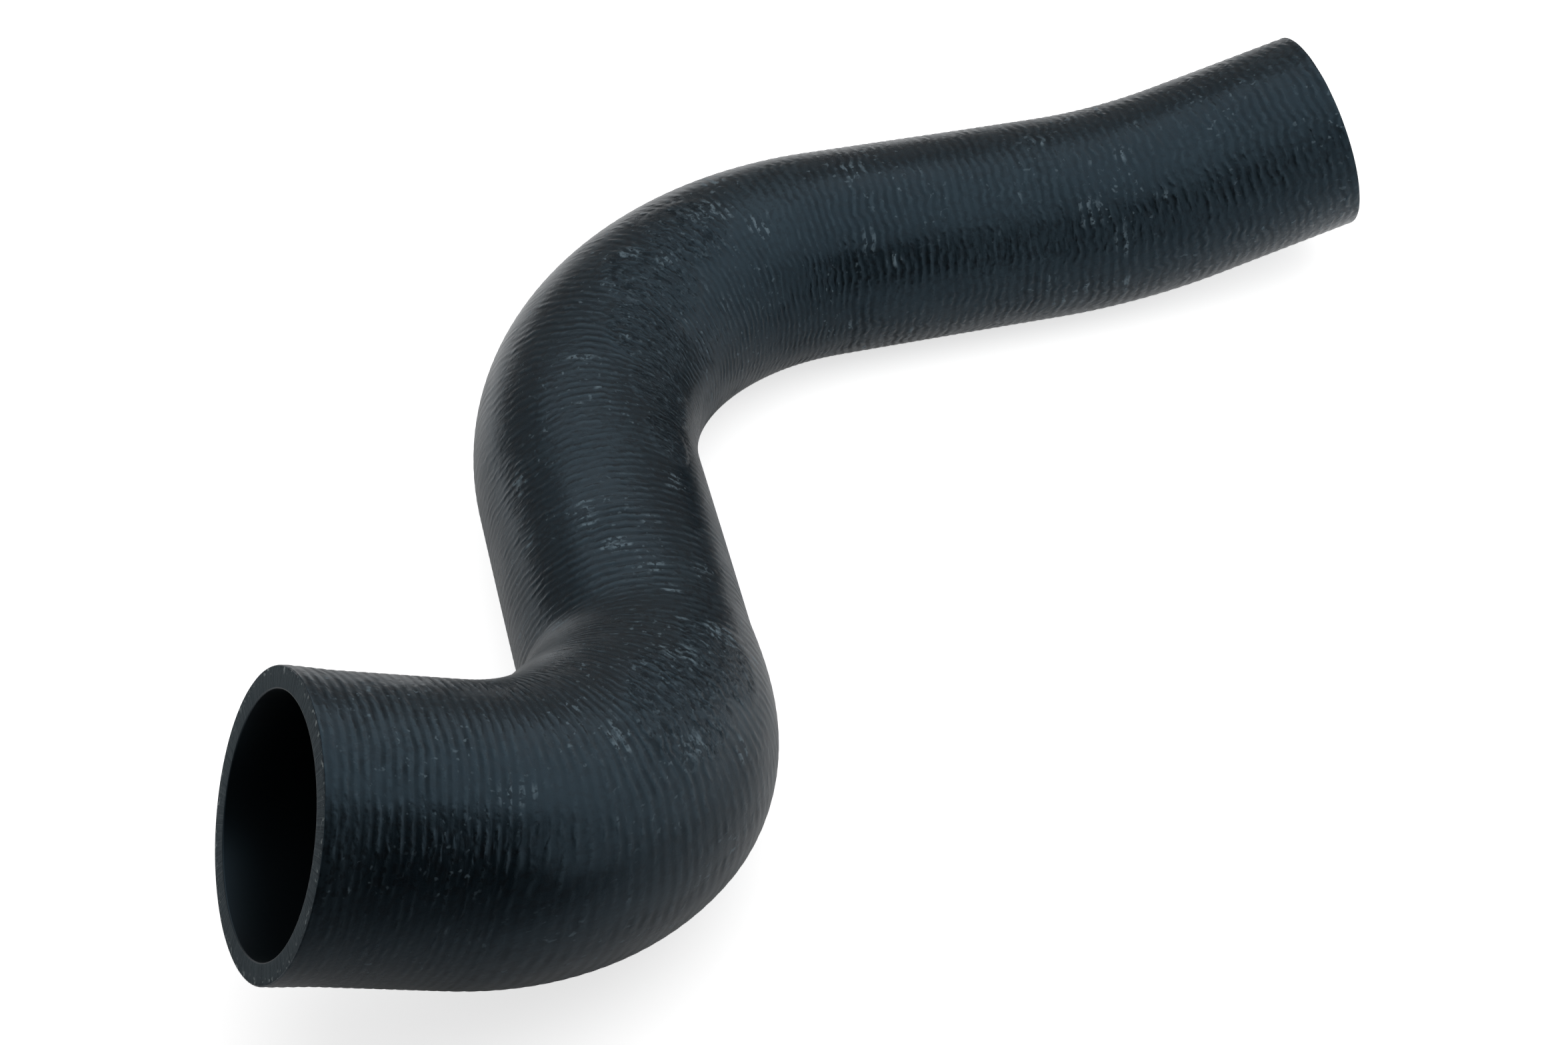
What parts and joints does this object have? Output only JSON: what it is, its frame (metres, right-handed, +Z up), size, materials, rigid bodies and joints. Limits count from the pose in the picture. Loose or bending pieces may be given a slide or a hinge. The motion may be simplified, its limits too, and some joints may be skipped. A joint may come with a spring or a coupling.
{
  "type": "charge air hose",
  "caption": "Moulded rubber charge air hose: a wide mouth, a tight elbow that steps down in diameter, a second bend and a slim open end.",
  "frame": {"origin": "middle of the bounding box's base, on the surface the hose lies on", "axes": "+Z up; +X from the wide mouth's side towards the slim end's side; +Y along the middle run, away from the wide mouth"},
  "size_m": [0.3246, 0.4026, 0.1153],
  "materials": {
    "rubber": "moulded black rubber with a soft sheen, fine rings all round the outside, pale scuffs and a smooth bore"
  },
  "bodies": {
    "root": {"hose": "rubber"}
  },
  "joints": []
}
